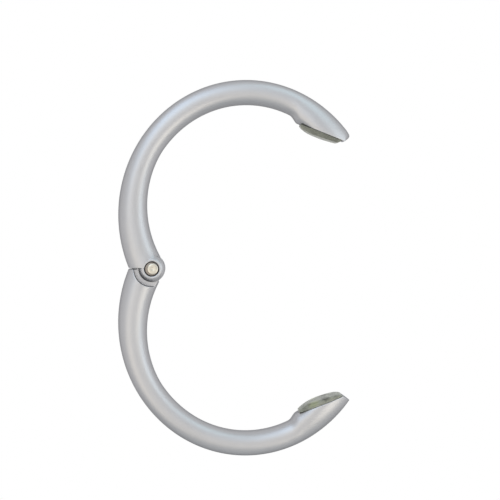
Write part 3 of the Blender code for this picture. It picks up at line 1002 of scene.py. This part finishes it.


# A material with its Principled shader, worn, darkened in its crevices with painted shade, and grained by
# the two groups
def newFinish(name, look):
    material = bpy.data.materials.new(name)
    material.use_nodes = True
    tree = material.node_tree
    shader = tree.nodes["Principled BSDF"]
    for label, value in look["shader"].items():
        shader.inputs[label].default_value = value
    worn = useGroup(tree, wearAndShadeGroup, look["wear"])
    grain = useGroup(tree, grainGroup, look["grain"])
    bump = tree.nodes.new("ShaderNodeBump")
    bump.inputs["Distance"].default_value = micrometre
    link(tree, grain["Height"], bump.inputs["Height"])
    link(tree, bump.outputs["Normal"], shader.inputs["Normal"])
    link(tree, worn["Roughness"], shader.inputs["Roughness"])
    link(tree, worn["Colour"], shader.inputs["Base Color"])
    return material, shader, worn


satin = {
    "shader": {"Metallic": 1.0, "Specular Tint": (0.36, 0.36, 0.37, 1)},
    "wear": {
        # Its dark film paints shade into the creases, along the fine groove's arc line and at the seat's
        # edge, partly grime
        "Base": (0.451, 0.449, 0.462, 1), "Rubbed": (0.57, 0.56, 0.57, 1), "Grime And Shade": (0.16, 0.15, 0.15, 1),
        "Smudge Size": 0.007, "Smudge": 0.06, "Roughness": 0.43, "Rub": 0.20, "Grime And Shade Share": 0.60,
    },
    "grain": {"Grain Size": 0.00022, "Grain Height": 1.2, "Wave Size": 0.0035, "Wave Height": 3.0},
}
rivetSteel = {
    "shader": {"Metallic": 1.0, "Specular Tint": (0.6, 0.6, 0.6, 1)},
    "wear": {
        # The dark film covers the head round the button: painted shade
        "Base": (0.56, 0.53, 0.46, 1), "Rubbed": (0.64, 0.61, 0.54, 1), "Grime And Shade": (0.20, 0.165, 0.145, 1),
        "Smudge Size": 0.0012, "Smudge": 0.20, "Roughness": 0.30, "Rub": 0.2, "Grime And Shade Share": 0.8,
    },
    "grain": {"Grain Size": 0.00015, "Grain Height": 1.5, "Wave Size": 0.0007, "Wave Height": 3.0},
}
wireSteel = {
    "shader": {"Metallic": 1.0, "Specular Tint": (0.7, 0.7, 0.7, 1)},
    "wear": {
        "Base": (0.42, 0.42, 0.43, 1), "Rubbed": (0.6, 0.6, 0.6, 1), "Grime And Shade": (0.1, 0.09, 0.08, 1),
        "Smudge Size": 0.0015, "Smudge": 0.15, "Roughness": 0.32, "Rub": 0.0, "Grime And Shade Share": 0.0,
    },
    "grain": {"Grain Size": 0.0001, "Grain Height": 1.5, "Wave Size": 0.001, "Wave Height": 1.0},
}
grip = {
    "shader": {"Metallic": 0.0, "IOR": 1.40, "Transmission Weight": 0.45, "Specular IOR Level": 0.3},
    "wear": {
        "Base": (0.42, 0.425, 0.36, 1), "Rubbed": (0.48, 0.485, 0.42, 1), "Grime And Shade": (0.20, 0.20, 0.16, 1),
        # Its dark film paints shade into the pad's creases along the seat line, partly grime
        "Smudge Size": 0.0024, "Smudge": 0.25, "Roughness": 0.38, "Rub": 0.4, "Grime And Shade Share": 0.3,
    },
    "grain": {"Grain Size": 0.00025, "Grain Height": 2.0, "Wave Size": 0.002, "Wave Height": 8.0},
    "dark": (0.12, 0.12, 0.10, 1),
    "green": (0.46, 0.48, 0.28, 1),
    # Painted shade near the seat, under the head's edge; the upper pad, facing away from the light, takes
    # more of it
    "low": (0.32, 0.32, 0.255, 1),
    "seatShadeShares": (0.45, 0.15),  # how much of it the upper and the lower pad show
    "seatShadeReach": 0.8,  # how far up it comes, as a share of the pad's rise
    # Dark spots over the pegs: the pegs in their sockets seen through the rubber, partly painted shade of
    # the sockets
    "pegShare": 0.35,  # how much the pegs show through
    "pegReach": 0.0178,  # up through the pad, so far that they show alike at every height
    "pegUneven": 0.4,
    "markUneven": 1.1,  # how ragged the marks' edges are
    # Marks in each pad: distance from the tip, depth and height, their reaches, tone and share. The upper
    # pad's broad dark ones are painted shade, as it faces away from the light
    "upperShadeMarks": (
        ((0.0065, 0.0048, 0.0009), (0.0085, 0.0026, 0.0014), "dark", 0.40),
        ((0.0042, 0.0048, 0.0009), (0.0034, 0.0018, 0.0009), "dark", 0.35),
    ),
    "lowerMarks": (
        ((0.0086, 0.0038, 0.0015), (0.0021, 0.0022, 0.0013), "green", 0.72),
        ((0.0052, 0.0036, 0.0017), (0.0015, 0.0022, 0.0011), "dark", 0.85),
        ((0.0099, 0.0030, 0.0018), (0.0007, 0.0016, 0.0008), "dark", 0.50),
        ((0.0116, 0.0040, 0.0012), (0.0013, 0.0018, 0.0010), "dark", 0.48),
        ((0.0021, 0.0034, 0.0013), (0.0011, 0.0018, 0.0008), "dark", 0.36),
    ),
}

satinMetal = newFinish("satin_zinc", satin)[0]
rivetMetal = newFinish("polished_rivet", rivetSteel)[0]
wireMetal = newFinish("spring_wire", wireSteel)[0]


# Darker towards the seat, a painted shade under the head's edge, with dark spots over the pegs that are
# partly painted shade of their sockets, and marks that on the upper pad are painted shade
def makeGrip(name, marks, seatShadeShare):
    material, shader, worn = newFinish(name, grip)
    tree = material.node_tree
    place = attribute(tree, "seatPlace")["Vector"]
    parts = tree.nodes.new("ShaderNodeSeparateXYZ")
    link(tree, place, parts.inputs[0])
    # Painted shade towards the seat
    top = grip["seatShadeReach"] * pad["rise"]
    low = mapRange(tree, parts.outputs["Z"], arm["seatLift"], top, seatShadeShare, 0.0)
    colour = mixColour(tree, low, worn["Colour"], grip["low"])
    around = pad["pegRadius"] + pad["pegClearance"]
    pegReach = (around, around, grip["pegReach"])
    spots = []
    # Dark spots over the pegs, partly painted shade of their sockets
    for peg in pegPlaces():
        run = (peg.translation - seatFrame(0).translation).length
        spots.append(((run, 0, 0), pegReach, "dark", grip["pegShare"], grip["pegUneven"]))
    spots += [(*mark, grip["markUneven"]) for mark in marks]
    for centre, reach, tone, share, uneven in spots:
        values = {"Place": place, "Centre": centre, "Reach": reach, "Uneven": uneven, "Share": share}
        spot = useGroup(tree, spotGroup, values)
        colour = mixColour(tree, spot["Mask"], colour, grip[tone])
    link(tree, colour, shader.inputs["Base Color"])
    return material


# The upper pad's copy is darker with painted shade, the lower one less so
upperShadedRubber = makeGrip("clear_polyurethane_upper_shaded", grip["upperShadeMarks"], grip["seatShadeShares"][0])
lowerRubber = makeGrip("clear_polyurethane_lower", grip["lowerMarks"], grip["seatShadeShares"][1])


def dress(piece, material, body, node):
    piece.data.materials.clear()
    piece.data.materials.append(material)
    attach(piece, body)
    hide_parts(node)


dress(upperArm, satinMetal, "upper_side", "upper_arm")
dress(lowerArm, satinMetal, "lower_side", "lower_arm")
dress(rivet, rivetMetal, "upper_side", "hinge_pin")
dress(upperPad, upperShadedRubber, "upper_side", "upper_pad")
dress(lowerPad, lowerRubber, "lower_side", "lower_pad")
wire.data.materials.append(wireMetal)
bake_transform(wire)
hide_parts("torsion_spring")
print("finishes on, pieces ride on their bodies")

# The studio: a pale floor, a white surround and soft lamps. Directions are round the object, in degrees
studio = {
    "floor": -0.45,  # its height
    "floorHalf": 6,
    "floorColour": (0.86, 0.86, 0.86, 1),
    "floorRoughness": 0.9,
    "fadeFrom": 0.35,
    "fadeTo": 0.75,
    "ambient": (0.25, 0.75),  # from below and from above
    "lampDistance": 0.6,
    "lampSize": 0.42,
}
lamps = {
    "warm_right": {"azimuth": 37, "elevation": -28, "power": 0.71, "colour": (1.0, 0.93, 0.77)},
    "warm_left": {"azimuth": -38, "elevation": -26, "power": 0.38, "colour": (1.0, 0.91, 0.73)},
    "warm_front": {"azimuth": -18, "elevation": 3, "power": 0.215, "colour": (1.0, 0.88, 0.70)},
    "cool_front": {"azimuth": -25, "elevation": 30, "power": 0.53, "colour": (0.66, 0.84, 1.0)},
    "cool_side": {"azimuth": 62, "elevation": 10, "power": 0.58, "colour": (0.80, 0.94, 1.0)},
    "cool_right": {"azimuth": 55, "elevation": 58, "power": 0.39, "colour": (0.57, 0.89, 1.0)},
    "cool_left": {"azimuth": -52, "elevation": 50, "power": 0.47, "colour": (0.55, 0.76, 1.0)},
}
middle = sum((Vector(corner) for corner in cadBox), Vector()) / 2


def aimFrom(spot, target):
    return (target - spot).to_track_quat("-Z", "Y")


def addLamp(name, look):
    turn, rise = radians(look["azimuth"]), radians(look["elevation"])
    way = Vector((sin(turn) * cos(rise), -cos(turn) * cos(rise), sin(rise)))
    light = bpy.data.lights.new(name, "AREA")
    light.shape, light.size = "SQUARE", studio["lampSize"]
    light.energy, light.color = look["power"], look["colour"]
    lamp = bpy.data.objects.new(name, light)
    lamp.location = middle + way * studio["lampDistance"]
    lamp.rotation_mode = "QUATERNION"
    lamp.rotation_quaternion = aimFrom(lamp.location, middle)
    bpy.context.scene.collection.objects.link(lamp)


# 1 for the rays that see the white surround: the camera's, mirror rays and rays through the pads
def seesSurround(tree):
    path = tree.nodes.new("ShaderNodeLightPath")
    rays = calculate(tree, "MAXIMUM", path.outputs["Is Camera Ray"], path.outputs["Is Glossy Ray"])
    return calculate(tree, "MAXIMUM", rays, path.outputs["Is Transmission Ray"])


def makeWorld():
    world = bpy.data.worlds.new("white_surround")
    world.use_nodes = True
    tree = world.node_tree
    background = tree.nodes["Background"]
    background.inputs["Color"].default_value = (1, 1, 1, 1)
    way = tree.nodes.new("ShaderNodeSeparateXYZ")
    link(tree, tree.nodes.new("ShaderNodeTexCoord").outputs["Generated"], way.inputs[0])
    ambient = mapRange(tree, way.outputs["Z"], -1.0, 1.0, *studio["ambient"])
    strength = mapRange(tree, seesSurround(tree), 0.0, 1.0, ambient, 1.0)
    link(tree, strength, background.inputs["Strength"])
    bpy.context.scene.world = world


# Near the object the floor is matt and takes its shadow. Further off it turns into the white surround
def makeFloor():
    ground = bpy.data.objects.new("studio_floor", bpy.data.meshes.new("studio_floor"))
    bm = bmesh.new()
    bmesh.ops.create_grid(bm, x_segments=8, y_segments=8, size=studio["floorHalf"])
    bm.to_mesh(ground.data)
    bm.free()
    ground.location = (middle.x, middle.y, studio["floor"])
    bpy.context.scene.collection.objects.link(ground)
    material = bpy.data.materials.new("pale_floor")
    material.use_nodes = True
    tree = material.node_tree
    shader = tree.nodes["Principled BSDF"]
    shader.inputs["Base Color"].default_value = studio["floorColour"]
    shader.inputs["Roughness"].default_value = studio["floorRoughness"]
    glow = tree.nodes.new("ShaderNodeEmission")
    away = vectorStep(tree, "LENGTH", tree.nodes.new("ShaderNodeTexCoord").outputs["Object"])
    far = mapRange(tree, away, studio["fadeFrom"], studio["fadeTo"])
    mix = tree.nodes.new("ShaderNodeMixShader")
    link(tree, calculate(tree, "MULTIPLY", far, seesSurround(tree)), mix.inputs["Fac"])
    link(tree, shader.outputs[0], mix.inputs[1])
    link(tree, glow.outputs[0], mix.inputs[2])
    link(tree, mix.outputs[0], tree.nodes["Material Output"].inputs["Surface"])
    ground.data.materials.append(material)


makeWorld()
makeFloor()
for name, look in lamps.items():
    addLamp(name, look)

# The camera stands where the photograph was taken from. Pixels are of the 500 x 500 picture
view = {
    "pinPixel": (151.6, 269.0),  # middle of the rivet's near head
    "scale": 0.0002794,  # metres a pixel at the ring
    "distance": 0.42,
    "azimuth": radians(-2.3),
    "elevation": radians(2.0),
    "roll": radians(0.23),
    "sensor": 36.0,
    "pixels": 500,
    "clip": (0.01, 50),
}


def makeCamera():
    data = bpy.data.cameras.new("photo_camera")
    data.sensor_width = view["sensor"]
    data.lens = view["sensor"] * view["distance"] / (view["pixels"] * view["scale"])
    data.clip_start, data.clip_end = view["clip"]
    camera = bpy.data.objects.new("photo_camera", data)
    side, rise = view["azimuth"], view["elevation"]
    back = Vector((sin(side) * cos(rise), -cos(side) * cos(rise), sin(rise)))
    upright = (-back).to_track_quat("-Z", "Y")
    turn = upright @ Matrix.Rotation(view["roll"], 3, "Z").to_quaternion()
    # From the near head to the picture's middle, in the picture's own directions
    near = pinPlace - Vector((0, bossHalf, 0))
    depth = view["distance"] + (near - pinPlace).dot(-back)
    pixel = view["scale"] * depth / view["distance"]
    across = (view["pixels"] / 2 - view["pinPixel"][0]) * pixel
    down = (view["pixels"] / 2 - view["pinPixel"][1]) * pixel
    camera.location = near + turn @ Vector((across, -down, depth))
    camera.rotation_mode = "QUATERNION"
    camera.rotation_quaternion = turn
    bpy.context.scene.collection.objects.link(camera)
    bpy.context.scene.camera = camera


makeCamera()
bpy.context.scene.view_settings.view_transform = "Standard"
print("studio and camera set")
